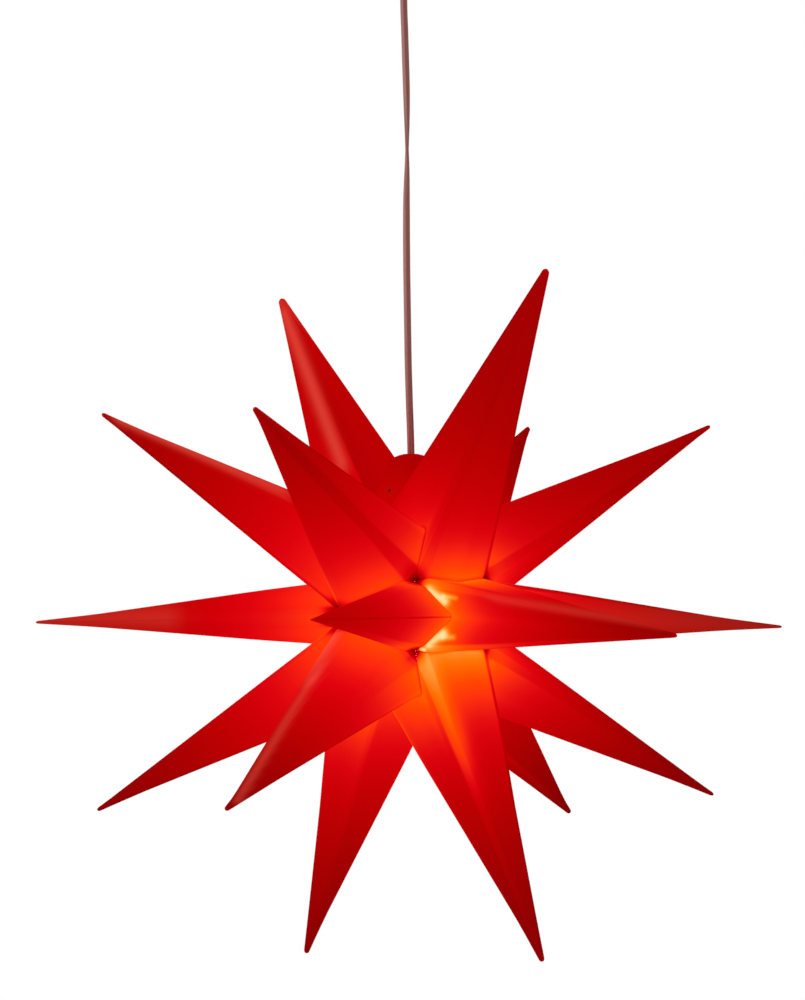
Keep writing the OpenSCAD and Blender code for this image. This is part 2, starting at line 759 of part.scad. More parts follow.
// The cord from its hanger down to its grip, as x, height below the ceiling, and twist
route = [
    [0, -50, 0], [0, -62, 0], [0, -75, 0], [0.2, -88, 0], [0.7, -101, 0], [1.1, -114, 0],
    [1.5, -127, 0], [1.9, -140, 10], [2.2, -153, 30], [2.4, -166, 50], [2.5, -179, 70],
    [2.5, -192, 90], [2.5, -205, 112], [2.3, -218, 134], [2.1, -231, 152], [2.1, -244, 166],
    [2.1, -257, 175], [2.2, -270, 180], [2.3, -283, 180], [2.5, -296, 180], [2.7, -309, 180],
    [2.9, -322, 180], [3.1, -335, 180], [3.3, -348, 180], [3.6, -361, 180], [4, -374, 180],
    [4.4, -387, 180], [4.9, -400, 180], [5.3, -413, 180], [5.5, -424, 180], [5.5, -435, 180]
];

// A flat twin section of eight places: two half rounds side by side
function cord_section(twist) = let (half = (cord_w - cord_t) / 2) [
    for (i = [0:7])
        let (
            a = -67.5 + i * 45,
            x = (i < 4 ? half : -half) + cord_t / 2 * cos(a),
            y = cord_t / 2 * sin(a)
        ) [x * cos(twist) - y * sin(twist), x * sin(twist) + y * cos(twist)]
];

module flat_cord() {
    m = len(route);
    // The last place follows the star and its cord grip
    end = [star_x, grip_top - drop];
    color(cord_red) drop_tube([
        for (i = [0:m - 1])
            let (r = i == m - 1 ? end : route[i])
                for (p = cord_section(route[i][2])) [r[0] + p[0], p[1], r[1]]
    ], 8);
}

module ceiling_strap() {
    stem_r = 2.5;
    color(steel) translate([0, 0, -strap_t]) difference() {
        linear_extrude(strap_t) offset(r = 4, $fn = 32) square([strap_l - 8, strap_w - 8], center = true);
        for (x = [-strap_pitch / 2, strap_pitch / 2]) translate([x, 0, -e])
            cylinder(r = strap_hole_r, h = strap_t + 2 * e);
        translate([0, 0, -e]) cylinder(r = stem_r + hole_gap, h = strap_t + 2 * e);
    }
}

// A wire hook riveted into the strap, open on its right
module ceiling_hook() {
    stem_r = 2.5;
    flange_t = 1.6;
    stem_low = hook_z + hook_bend;
    color(steel) {
        translate([0, 0, -strap_t]) cylinder(r = stem_r, h = strap_t - rest);
        translate([0, 0, -strap_t - flange_t]) cylinder(r = stem_r + 2, h = flange_t);
        translate([0, 0, stem_low]) cylinder(r = hook_wire, h = -strap_t - flange_t - stem_low + e);
        translate([0, 0, hook_z]) rotate([90, 0, 0]) rotate_extrude(angle = 270, start = 90)
            translate([hook_bend, 0]) circle(r = hook_wire);
    }
}

module cord_hanger() {
    color(white_plastic) {
        translate([0, 0, eye_z]) rotate([0, 90, 0]) rotate_extrude() translate([eye_r, 0]) circle(r = eye_wire);
        difference() {
            translate([-hanger_w / 2, -cord_t / 2, hanger_low])
                cube([hanger_w, hanger_back + cord_t / 2, hanger_top - hanger_low]);
            translate([-cord_w / 2 - rest, -cord_t / 2 - e, hanger_low - e])
                cube([cord_w + 2 * rest, cord_t + rest, hanger_top - hanger_low - 4]);
            for (x = [-hanger_screw_x, hanger_screw_x]) translate([x, hanger_back + e, hanger_low + 8])
                rotate([90, 0, 0]) cylinder(r = hanger_screw_r + hole_gap, h = 20);
        }
    }
}

module hanger_clamp() {
    color(white_plastic) difference() {
        translate([-hanger_w / 2, -cord_t / 2 - clamp_t, hanger_low])
            cube([hanger_w, clamp_t, 14]);
        for (x = [-hanger_screw_x, hanger_screw_x]) translate([x, 0, hanger_low + 8])
            rotate([90, 0, 0]) cylinder(r = hanger_screw_r + hole_gap, h = 20);
    }
}

module hanger_screws() {
    head_h = 1.4;
    length = clamp_t + 5;
    color(steel) for (x = [-hanger_screw_x, hanger_screw_x])
        translate([x, -cord_t / 2 - clamp_t, hanger_low + 8]) rotate([90, 0, 0]) difference() {
            union() {
                cylinder(r = 2, h = head_h);
                translate([0, 0, -length]) cylinder(r = hanger_screw_r, h = length + e);
            }
            translate([-2, -0.3, head_h - 0.6]) cube([4, 0.6, 1]);
        }
}

block_x = 13;
block_l = 14;
block_w = 16;
block_h = 11;
module terminal_block() {
    color(white_plastic) difference() {
        translate([block_x, -block_w / 2, -strap_t - block_h]) cube([block_l, block_w, block_h]);
        for (y = [-block_w / 4, block_w / 4]) {
            translate([block_x - e, y, -strap_t - block_h / 2]) rotate([0, 90, 0])
                cylinder(r = 1.7, h = block_l + 2 * e);
            translate([block_x + block_l / 2, y, -strap_t - block_h - e]) cylinder(r = 1.7, h = block_h / 2);
        }
    }
}

module block_screws() {
    color(brass) for (y = [-block_w / 4, block_w / 4])
        translate([block_x + block_l / 2, y, -strap_t - block_h + 0.6]) cylinder(r = 1.6, h = 3);
}

cup_screw_z = -cup_h - 5;
cup_screw_r = 1.5;
sleeve_r = 8;
module ceiling_cup() {
    // A shallow bell: straight rim, then a quarter round with a squared shoulder
    bell = 22;
    steps = 10;
    function shoulder(r, h) = [
        for (i = [0:steps]) let (a = 90 * i / steps)
            [sleeve_r + (r - sleeve_r) * pow(cos(a), 0.7), -h + bell * (1 - sin(a))]
    ];
    color(star_red) difference() {
        union() {
            rotate_extrude() difference() {
                polygon(concat([[0, 0], [cup_r, 0]], shoulder(cup_r, cup_h), [[0, -cup_h]]));
                polygon(concat([[0, 1], [cup_r - cup_wall, 1]],
                    shoulder(cup_r - cup_wall, cup_h - cup_wall), [[0, -cup_h + cup_wall]]));
            }
            translate([0, 0, -cup_h - sleeve_l]) cylinder(r = sleeve_r, h = sleeve_l + cup_wall);
        }
        translate([0, 0, -cup_h - sleeve_l - e]) cylinder(r = cup_hole_r, h = sleeve_l + cup_wall + 1);
        translate([0, 0, cup_screw_z]) rotate([0, -90, 0])
            cylinder(r = cup_screw_r + hole_gap, h = sleeve_r + 1);
    }
}

// The screw reaches the side of the cord that the cord leaves as the cup comes down
module cup_screw() {
    from = cord_w / 2 + rest;
    length = sleeve_r - from;
    color(steel) translate([-from, 0, cup_screw_z]) rotate([0, -90, 0]) difference() {
        cylinder(r = cup_screw_r, h = length);
        translate([0, 0, length - 1]) cylinder(r = 0.8, h = 2, $fn = 6);
    }
}

middle_point(0);  // middle_point_1
middle_point(1);  // middle_point_2
middle_point(2);  // middle_point_3
middle_point(3);  // middle_point_4
middle_point(4);  // middle_point_5
middle_point(5);  // middle_point_6
upper_point(0);  // upper_point_1
upper_point(1);  // upper_point_2
upper_point(2);  // upper_point_3
upper_point(3);  // upper_point_4
upper_point(4);  // upper_point_5
upper_point(5);  // upper_point_6
lower_point(0);  // lower_point_1
lower_point(1);  // lower_point_2
lower_point(2);  // lower_point_3
lower_point(3);  // lower_point_4
lower_point(4);  // lower_point_5
lower_point(5);  // lower_point_6
seam_clips();
top_collar();
lamp_carrier();
carrier_screws();
nipple();
nipple_nut();
cord_grip();
grip_screws();
top_cap();
cap_screw();
holder_cap();
holder_shell();
holder_insert();
thread_sleeve();
centre_contact();
side_contact();
terminal_screws();
inner_wires();
lamp_glass();
lamp_base();
lamp_insulator();
lamp_end_contact();
lamp_stem();
lamp_filaments();
flat_cord();
ceiling_strap();
ceiling_hook();
cord_hanger();
hanger_clamp();
hanger_screws();
terminal_block();
block_screws();
ceiling_cup();
cup_screw();
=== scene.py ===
"""A red eighteen-pointed star lamp on a flat twin cord, lit from inside, in metres, +Z up."""

import json
import math

import bpy
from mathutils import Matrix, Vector


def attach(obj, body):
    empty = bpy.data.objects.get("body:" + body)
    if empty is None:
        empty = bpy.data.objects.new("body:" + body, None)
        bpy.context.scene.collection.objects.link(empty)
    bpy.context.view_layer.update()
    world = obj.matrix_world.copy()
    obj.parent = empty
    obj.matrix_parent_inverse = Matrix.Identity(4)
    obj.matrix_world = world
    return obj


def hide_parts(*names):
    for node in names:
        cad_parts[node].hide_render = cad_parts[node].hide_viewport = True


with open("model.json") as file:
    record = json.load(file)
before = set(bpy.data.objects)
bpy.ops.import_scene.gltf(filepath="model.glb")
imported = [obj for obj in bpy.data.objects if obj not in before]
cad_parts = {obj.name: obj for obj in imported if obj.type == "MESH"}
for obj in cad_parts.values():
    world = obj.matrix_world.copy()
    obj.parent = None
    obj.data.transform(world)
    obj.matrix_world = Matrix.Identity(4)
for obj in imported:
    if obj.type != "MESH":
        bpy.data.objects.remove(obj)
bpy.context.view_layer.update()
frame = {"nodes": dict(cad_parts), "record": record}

MM = 0.001
# Centre of the star below the ceiling, where the cord hangs the lamp
STAR = Vector((5.5 * MM, 0, -545 * MM))

# The photograph's camera: lens and sensor in mm, distances in metres, directions in degrees
LENS, SENSOR = 204.1, 36
CAMERA_AWAY, CAMERA_SEES = 4.275, 40
LOOKS_UP, LOOKS_LEFT = 1.182, 0.0859


def make_camera():
    camera = bpy.data.objects.new("photo_camera", bpy.data.cameras.new("photo_camera"))
    bpy.context.scene.collection.objects.link(camera)
    camera.data.sensor_width = SENSOR
    camera.data.lens = LENS
    camera.data.clip_end = CAMERA_SEES
    camera.location = (STAR.x, -CAMERA_AWAY, STAR.z)
    camera.rotation_euler = (math.radians(90 + LOOKS_UP), 0, math.radians(LOOKS_LEFT))
    bpy.context.scene.camera = camera


# Shader maths, and the nodes of a finish
class Value:
    """One output of a node. Arithmetic on it adds Math nodes."""

    def __init__(self, tree, socket):
        self.tree, self.socket = tree, socket

    def maths(self, operation, *values):
        return self.tree.node("ShaderNodeMath", {"operation": operation}, dict(enumerate(values)))

    def __add__(self, other):
        return self.maths("ADD", self, other)

    def __sub__(self, other):
        return self.maths("SUBTRACT", self, other)

    def __rsub__(self, other):
        return self.maths("SUBTRACT", other, self)

    def __mul__(self, other):
        return self.maths("MULTIPLY", self, other)

    def __truediv__(self, other):
        return self.maths("DIVIDE", self, other)

    def __rtruediv__(self, other):
        return self.maths("DIVIDE", other, self)

    def __pow__(self, other):
        return self.maths("POWER", self, other)

    __radd__ = __add__
    __rmul__ = __mul__

    def least(self, other):
        return self.maths("MINIMUM", self, other)

    def most(self, other):
        return self.maths("MAXIMUM", self, other)

    def size(self):
        return self.maths("ABSOLUTE", self)

    def power_of_e(self):
        return self.maths("EXPONENT", self)

    def bell(self, width):
        """1 where the value is 0, falling off on both sides within about the width."""
        return ((self / width) ** 2 * -1).power_of_e()

    def step(self, low, high):
        """0 below low, 1 above high, smooth between."""
        return self.tree.node(
            "ShaderNodeMapRange", {"interpolation_type": "SMOOTHSTEP"}, {0: self, 1: low, 2: high}
        )


class Tree:
    """The nodes of a material or of the world."""

    def __init__(self, owner):
        owner.use_nodes = True
        self.nodes, self.links = owner.node_tree.nodes, owner.node_tree.links

    def node(self, kind, settings=None, values=None, out=0):
        """Adds a node with its settings, and numbers or links for its sockets. Gives one output."""
        made = self.nodes.new(kind)
        for key, value in (settings or {}).items():
            if key == "stops":
                stops = made.color_ramp.elements
                for i, (place, colour) in enumerate(value):
                    stop = stops[i] if i < 2 else stops.new(place)
                    stop.position, stop.color = place, (*colour, 1)
            else:
                setattr(made, key, value)
        for key, value in (values or {}).items():
            self.feed(made.inputs[key], value)
        return Value(self, made.outputs[out])

    def feed(self, socket, value):
        if isinstance(value, Value):
            self.links.new(value.socket, socket)
        elif socket.type == "RGBA":
            socket.default_value = (*value, 1)
        else:
            socket.default_value = value


class Finish(Tree):
    """A material, made of one Principled shader and the nodes that feed it."""

    def __init__(self, name, **constants):
        self.material = bpy.data.materials.new(name)
        super().__init__(self.material)
        self.paint(**constants)

    def paint(self, **channels):
        shader = self.nodes["Principled BSDF"]
        for key, value in channels.items():
            self.feed(shader.inputs[key.replace("_", " ")], value)
        return self.material

    def place(self):
        return self.node("ShaderNodeTexCoord", out="Object")

    def normal(self):
        return self.node("ShaderNodeNewGeometry", out="Normal")

    def axes(self, vector):
        split = self.node("ShaderNodeSeparateXYZ", None, {0: vector}).socket.node
        return [Value(self, socket) for socket in split.outputs]

    def vector(self, operation, a, b=None):
        """A vector's difference from another, their dot product, or its length."""
        values = {0: a} if b is None else {0: a, 1: b}
        out = "Value" if operation in ("LENGTH", "DOT_PRODUCT") else "Vector"
        return self.node("ShaderNodeVectorMath", {"operation": operation}, values, out)

    def noise(self, scale, detail=2, at=None):
        return self.node(
            "ShaderNodeTexNoise", None, {"Vector": at or self.place(), "Scale": scale, "Detail": detail}
        )

    def attribute(self, name):
        return self.node("ShaderNodeAttribute", {"attribute_name": name}, out="Fac")

    def mix(self, share, a, b):
        """The colour a, with a share of b in it."""
        return self.node("ShaderNodeMix", {"data_type": "RGBA"}, {0: share, 6: a, 7: b}, 2)

    def ramp(self, value, stops):
        return self.node("ShaderNodeValToRGB", {"stops": stops}, {0: value})

    def bump(self, height, distance, strength):
        return self.node(
            "ShaderNodeBump", None, {"Strength": strength, "Distance": distance, "Height": height}
        )


# Meshes
def piece(name, places, faces, body, material, replaces):
    """A mesh piece in metres that rides on a body and stands for the named CAD nodes."""
    mesh = bpy.data.meshes.new(name)
    mesh.from_pydata([tuple(p) for p in places], [], faces)
    mesh.validate()
    mesh.polygons.foreach_set("use_smooth", [True] * len(mesh.polygons))
    made = bpy.data.objects.new(name, mesh)
    bpy.context.scene.collection.objects.link(made)
    mesh.materials.append(material)
    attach(made, body)
    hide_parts(*replaces)
    return made


def ring_faces(n, a, b):
    """Faces between ring a and ring b of n places each."""
    return [
        (a * n + i, b * n + i, b * n + (i + 1) % n, a * n + (i + 1) % n) for i in range(n)
    ]


def tip_faces(n, a, tip):
    """Faces from ring a of n places to one place at the tip."""
    return [(a * n + i, tip, a * n + (i + 1) % n) for i in range(n)]


def turned(faces):
    """The faces looking the other way."""
    return [face[::-1] for face in faces]


def mark(mesh, marks):
    """Gives each place of a mesh a number under each label, which its finish reads."""
    for label, numbers in marks.items():
        mesh.attributes.new(label, "FLOAT", "POINT").data.foreach_set("value", numbers)


# The cord: its size, half the thickness in its groove, and the rounds at its sides. They are a hair
# thinner than the CAD cord, and are drawn as far as this angle, in this many steps
CORD_W, CORD_T = 5.4 * MM, 2.7 * MM
GROOVE_HALF = 0.62 * MM
ROUND_R = CORD_T / 2 * 0.99
ROUND_TO, ROUND_STEPS = 118, 14
# The route in millimetres: across, height, and the twist in degrees
ROUTE = [
    (0, -50, 0), (0, -62, 0), (0, -75, 0), (0.2, -88, 0), (0.7, -101, 0), (1.1, -114, 0),
    (1.5, -127, 0), (1.9, -140, 10), (2.2, -153, 30), (2.4, -166, 50), (2.5, -179, 70),
    (2.5, -192, 90), (2.5, -205, 112), (2.3, -218, 134), (2.1, -231, 152), (2.1, -244, 166),
    (2.1, -257, 175), (2.2, -270, 180), (2.3, -283, 180), (2.5, -296, 180), (2.7, -309, 180),
    (2.9, -322, 180), (3.1, -335, 180), (3.3, -348, 180), (3.6, -361, 180), (4, -374, 180),
    (4.4, -387, 180), (4.9, -400, 180), (5.3, -413, 180), (5.5, -424, 180), (5.5, -435, 180),
]
ROUTE_STEPS = 5


def through(points, steps):
    """A smooth line through points, with steps places for each stretch."""
    line = []
    for i in range(len(points) - 1):
        a, b = points[i], points[i + 1]
        before, after = points[max(i - 1, 0)], points[min(i + 2, len(points) - 1)]
        for k in range(steps):
            t = k / steps
            line.append([
                0.5 * (2 * q + (r - p) * t + (2 * p - 5 * q + 4 * r - s) * t * t
                       + (3 * q - p - 3 * r + s) * t ** 3)
                for p, q, r, s in zip(before, a, b, after)
            ])
    return line + [list(points[-1])]


def cord_section():
    """Half rounds side by side with a groove between them on both faces."""
    lobe = CORD_W / 2 - ROUND_R
    right = []
    for i in range(ROUND_STEPS + 1):
        a = math.radians(-ROUND_TO + 2 * ROUND_TO * i / ROUND_STEPS)
        right.append((lobe + ROUND_R * math.cos(a), ROUND_R * math.sin(a)))
    left = [(-x, -y) for x, y in right]
    return right + [(0, GROOVE_HALF)] + left + [(0, -GROOVE_HALF)]


def make_cord():
    """The flat cord. Each place is marked with how far it is across the width (across), and to the
    right of the cord's middle (side)."""
    section = cord_section()
    n = len(section)
    line = through(ROUTE, ROUTE_STEPS)
    places, sides = [], []
    for x, z, twist in line:
        c, s = math.cos(math.radians(twist)), math.sin(math.radians(twist))
        places += [(x * MM + u * c - v * s, u * s + v * c, z * MM) for u, v in section]
        sides += [(u * c - v * s) / (CORD_W / 2) for u, v in section]
    faces = [f for k in range(len(line) - 1) for f in ring_faces(n, k, k + 1)]
    faces += [tuple(range(n)), tuple(range(len(places) - 1, len(places) - n - 1, -1))]
    made = piece(
        "twin_cord", places, turned(faces), "frame", cord_finish(), ["flat_cord"]
    )
    mark(made.data, {"across": [u / (CORD_W / 2) for _ in line for u, _ in section], "side": sides})
    path = [(x * MM, 0, z * MM) for x, z, _ in reversed(line)]


# Heights above the star's centre in metres: the cap's top, how far above it the star's light still
# reddens the cord, where the light in the cap begins to fade, and over what height it fades
CAP_TOP, CORD_LIT = 0.123, 0.035
CAP_FADES_FROM, CAP_FADE = 0.08, 0.045


def cord_finish():
    """Translucent brownish red PVC: painted paler on its left and darker on its right, as if lit from
    the left, with painted shade in the groove between its lobes and along their outer edges, and redder
    where the star lights it."""
    f = Finish("cord_pvc", Roughness=0.34, IOR=1.5, Specular_IOR_Level=0.3)
    across = f.attribute("across").size()
    # Painted shade: darker in the groove between the lobes and along the outer edges
    groove_and_edge_shade = (1 - across.step(0.12, 0.3)) + across.step(0.85, 1.0)
    # Painted light from the left: paler where the cord lies left of its middle, darker to the right
    side = f.attribute("side").step(-0.35, 0.25)
    painted_side_light = f.mix(side, (0.50, 0.21, 0.19), (0.20, 0.055, 0.038))
    shaded = f.mix(groove_and_edge_shade.least(1) * 0.45, painted_side_light, (0.16, 0.035, 0.025))
    mottled = f.mix(f.noise(160, 3) * 0.3, shaded, (0.36, 0.12, 0.10))
    # Painted light: the star's glow reddens the cord at and just above the cap
    height = f.axes(f.place())[2]
    near_star = ((STAR.z + CAP_TOP - height) / CORD_LIT).power_of_e().least(1)
    return f.paint(
        Base_Color=f.mix(near_star * 0.6, mottled, (0.42, 0.03, 0.025)),
        Normal=f.bump(f.noise(900, 2), 0.00012, 0.25),
        Coat_Weight=0.1 + 0.1 * f.noise(60),
    )


# The points, in millimetres from the star's centre: how far a tip reaches, the wall, how deep the
# flange goes, and the gap between neighbours
TIP_REACH, WALL, FLANGE, SEAM = 286, 1.4, 9, 0.2
# The widths of the flattened corner bands, and the radius of the blunt tip
BAND, SMALL_BAND, TIP_R = 6, 2.6, 2.4
# How much wider a band is at the seat, and the share of the seat's size where it has its own width
FLARE, FLARE_END = 1.6, 0.77
# Where the seams round the middle stand, and where the points aim: the azimuth from the front, and
# the height, in degrees
SEAM_AZ = [3, 62, 131, 183, 242, 311]
MIDDLE_AIM = [(41.6, -2.7), (99, -1.5), (166, 0), (223, 0), (283, -0.8), (346, -0.4)]
UPPER_AIM = [
    (55.2, 64.6), (110.3, 30.9), (157.4, 31.7), (223.6, 59.4), (289.9, 31.7), (332.5, 31.6),
]
LOWER_AIM = [
    (47.5, -62.6), (112, -28.6), (148.6, -32.7), (221.2, -64.6), (291, -29.9), (328, -28.9),
]
# The ends of the seams round the middle, of which there are three kinds in turn: the distance from
# the star's axis, the height of the upper end and the height of the lower one
SEAM_ENDS = [(71, 30, -28), (69, 30, -23.5), (76, 6, -6)]
# How many degrees a wide seam sweeps round at its middle, and how far out it is there
SEAM_SWEEP, SEAM_MIDDLE_R = 20, 80
# The middle of the wide seats' level edges: distance from the axis, upper height and lower height
SILL_R, SILL_TOP, SILL_LOW = 66, 26, -23.5
# The corners by the star's axis: distance from it and height
TOP_CORNER, LOW_CORNER = (32, 70), (30, -61)
# Bends of the seams between upper points and between lower points, by the kind of the seam below or
# above, of which the narrow one has none: degrees round from it, distance from the axis and height
UPPER_BENDS, LOWER_BENDS = [(12, 46, 66), (18, 50, 56)], [(8, 45, -58), (18, 50, -51)]
# The round mouth at the top, half of it in each steep upper point
MOUTH_R, MOUTH_Z, MOUTH_STEPS = 29, 76, 8


def at(az, r, z):
    """The place at an azimuth from the front, a distance from the star's axis and a height."""
    a = math.radians(az)
    return Vector((r * math.sin(a), -r * math.cos(a), z))


def kind(k):
    """Seams and points are numbered from the front round to the right. The star repeats after half
    a turn, so they are of three kinds: 0 has the steep points and wide seats, and seam 2 is narrow."""
    return k % len(SEAM_ENDS)


def round_from(k, steps):
    """The number of the seam that stands so many seams on."""
    return (k + steps) % len(SEAM_AZ)


def narrow(k):
    return kind(k) == 2


def corner_above(k):
    r, height, _ = SEAM_ENDS[kind(k)]
    return at(SEAM_AZ[k], r, height)


def corner_below(k):
    r, _, height = SEAM_ENDS[kind(k)]
    return at(SEAM_AZ[k], r, height)


def seam_middle(k):
    return at(SEAM_AZ[k] + SEAM_SWEEP, SEAM_MIDDLE_R, 0)


def bend(k, bends):
    turn, r, z = bends[kind(k)]
    return at(SEAM_AZ[k] + turn, r, z)


# A seat is a list of places round it, each with the width of its corner band, or 0 without one
def high(k):
    return (corner_above(k), SMALL_BAND if narrow(k) else BAND)


def low(k):
    return (corner_below(k), SMALL_BAND if narrow(k) else BAND)


def top(k):
    return (at(SEAM_AZ[k], *TOP_CORNER), SMALL_BAND)


def bottom(k):
    return (at(SEAM_AZ[k], *LOW_CORNER), SMALL_BAND)


def up_bend(k):
    return (bend(k, UPPER_BENDS), 0)


def down_bend(k):
    return (bend(k, LOWER_BENDS), 0)


def sweep(k):
    """The swept middle of a seam. The narrow seams have none."""
    return [] if narrow(k) else [(seam_middle(k), 0)]


def sill(k, z):
    """The middle of a wide seat's level edge. The other seats have none."""
    return [(at((SEAM_AZ[k] + SEAM_AZ[k + 1]) / 2, SILL_R, z), 0)] if kind(k) == 0 else []


def mouth(k):
    turns = [(i + 0.5) * 180 / MOUTH_STEPS for i in range(MOUTH_STEPS)]
    return [(at(SEAM_AZ[k] - turn, MOUTH_R, MOUTH_Z), 0) for turn in turns]


def middle_seat(i):
    j = round_from(i, 1)
    return [
        low(i), *sill(i, SILL_LOW), low(j), *sweep(j),
        high(j), *sill(i, SILL_TOP), high(i), *sweep(i),
    ]


def upper_seat(i):
    j, across, back = round_from(i, 1), round_from(i, 2), round_from(i, -1)
    if kind(i) == 0:
        return [
            high(i), *sill(i, SILL_TOP), high(j), up_bend(j),
            top(across), *mouth(across), top(back), up_bend(i),
        ]
    if kind(i) == 1:
        return [high(i), high(j), top(j), up_bend(i)]
    return [high(i), high(j), up_bend(j), top(i)]


def lower_seat(i):
    j, across, back = round_from(i, 1), round_from(i, 2), round_from(i, -1)
    if kind(i) == 0:
        return [
            down_bend(i), bottom(back), bottom(across), down_bend(j),
            low(j), *sill(i, SILL_LOW), low(i),
        ]
    if kind(i) == 1:
        return [down_bend(i), bottom(j), low(j), low(i)]
    return [bottom(i), down_bend(j), low(j), low(i)]


def inset(points, d):
    """Each corner moved into the seat by d, square to the seam planes through the centre."""
    moved = []
    for i, p in enumerate(points):
        before = points[i - 1].cross(p).normalized()
        after = p.cross(points[(i + 1) % len(points)]).normalized()
        moved.append(p + d * (before + after) / (1 + before.dot(after)))
    return moved


# How far the edges of the bands are rounded, outside and inside, and how many times as far a corner
# without a band is
SOFT, SOFT_INSIDE, PLAIN_SOFT = 1.2, 1.0, 3
# The most of a wall that a band or a rounding takes, and the most of a band that a rounding takes
WALL_SHARE, BAND_SHARE = 0.3, 0.35
# The flange's edge: how far its corners are cut, and how far they are rounded
EDGE_CUT, EDGE_SOFT = 0.25, 0.2
# How far apart the places along a wall are, how many wall thicknesses the tip is solid for, and the
# radius of the hollow's tip
WALL_STEP, TIP_SOLID, HOLLOW_TIP_R = 6, 6, 0.6
# Places along a point, outside and inside, as parts of its length
STATIONS = [
    0, 0.012, 0.05, 0.1, 0.16, 0.22, 0.29, 0.36, 0.43, 0.5, 0.57, 0.64, 0.71, 0.78, 0.84, 0.9, 0.95,
    0.98, 1,
]
STATIONS_INSIDE = [0, 0.25, 0.5, 0.75, 1]
# The rings of the round tip, outside and inside, in degrees
TIP_ANGLES, TIP_ANGLES_INSIDE = [30, 60], [45]


def outline(points, cuts, s, soft):
    """The outline of a point that has shrunk to s of its seat, in the seat's own size. A corner with
    a band becomes the band's two edges. Gives the corners, each with how far it is rounded."""
    flare = 1 + (FLARE - 1) * max(0, s - FLARE_END) / (1 - FLARE_END)
    ring = []
    for i, p in enumerate(points):
        back, ahead = points[i - 1] - p, points[(i + 1) % len(points)] - p
        if cuts[i]:
            width = cuts[i] * flare / s
            a = p + back.normalized() * min(width, WALL_SHARE * back.length)
            b = p + ahead.normalized() * min(width, WALL_SHARE * ahead.length)
            edge = min(soft / s, BAND_SHARE * (b - a).length)
            ring += [(a, edge), (b, edge)]
        else:
            wide = soft * PLAIN_SOFT / s
            ring.append((p, min(wide, WALL_SHARE * back.length, WALL_SHARE * ahead.length)))
    return ring


def rounded(ring, counts):
    """The ring with each corner replaced by three places on a curve, and the walls divided."""
    places = []
    for i, (p, r) in enumerate(ring):
        following, following_r = ring[(i + 1) % len(ring)]
        back = (ring[i - 1][0] - p).normalized()
        ahead = (following - p).normalized()
        a, b = p + back * r, p + ahead * r
        places += [a, a * 0.25 + p * 0.5 + b * 0.25, b]
        end = following - ahead * following_r
        for k in range(1, counts[i]):
            places.append(b.lerp(end, k / counts[i]))
    return places


def rib_marks(cuts, counts):
    """For each place of a ring, the corner whose rib it is on, and how fully."""
    marks, side = [], 0
    for i, c in enumerate(cuts):
        shares = ((0, 0.5, 1), (1, 0.5, 0)) if c else ((0, 1, 0),)
        for k, trio in enumerate(shares):
            marks += [(i, share) for share in trio]
            marks += [(i, 1 if c and k == 0 else 0)] * (counts[side] - 1)
            side += 1
    return marks


def skin(points, cuts, end, end_r, stations, soft, counts, tip_angles):
    """The rings of a point's skin, from the flange's edge to the last one before its end."""
    start = sum(points, Vector()) / len(points)
    way = (end - start).normalized()
    stop = end - way * end_r
    s_end = end_r / (sum((p - start).length for p in points) / len(points))
    edge = outline(points, [EDGE_CUT if c else 0 for c in cuts], 1, EDGE_SOFT)
    rings = [[p - FLANGE * p.normalized() for p in rounded(edge, counts)]]
    for t in stations:
        s = 1 - t * (1 - s_end)
        ring = rounded(outline(points, cuts, s, soft), counts)
        centre = start + t * (stop - start)
        rings.append([centre + s * (p - start) for p in ring])
    last = rounded(outline(points, cuts, s_end, soft), counts)
    for a in map(math.radians, tip_angles):
        ahead = way * end_r * math.sin(a)
        rings.append([stop + s_end * math.cos(a) * (p - start) + ahead for p in last])
    return rings


def make_point(name, seat, aim, material):
    """One hollow point: its skin outside and inside, joined at the flange's edge."""
    places = [p for p, _ in seat]
    cuts = [c for _, c in seat]
    az, height = aim[0], math.radians(aim[1])
    end = at(az, TIP_REACH * math.cos(height), TIP_REACH * math.sin(height))
    way = (end - sum(places, Vector()) / len(places)).normalized()
    hollow_end = end - way * WALL * TIP_SOLID
    outer_seat, inner_seat = inset(places, SEAM / 2), inset(places, SEAM / 2 + WALL)
    ring = [p for p, _ in outline(outer_seat, cuts, 1, SOFT)]
    walls = [(ring[(i + 1) % len(ring)] - p).length for i, p in enumerate(ring)]
    counts = [max(1, round(length / WALL_STEP)) for length in walls]
    outer = skin(outer_seat, cuts, end, TIP_R, STATIONS, SOFT, counts, TIP_ANGLES)
    inner = skin(
        inner_seat, cuts, hollow_end, HOLLOW_TIP_R, STATIONS_INSIDE, SOFT_INSIDE, counts,
        TIP_ANGLES_INSIDE,
    )
    n, first_inside, rings = len(outer[0]), len(outer), len(outer) + len(inner)
    verts = [p for ring in outer + inner for p in ring] + [end, hollow_end]
    faces = []
    for a in range(first_inside - 1):
        faces += ring_faces(n, a, a + 1)
    for a in range(first_inside, rings - 1):
        faces += turned(ring_faces(n, a, a + 1))
    faces += turned(ring_faces(n, 0, first_inside))
    faces += tip_faces(n, first_inside - 1, rings * n)
    faces += turned(tip_faces(n, rings - 1, rings * n + 1))
    made = piece(
        name + "_shell", [STAR + p * MM for p in verts], faces, "frame", material, [name]
    )
    mark(made.data, light_marks(name, seat, end, verts, rib_marks(cuts, counts), first_inside * n))


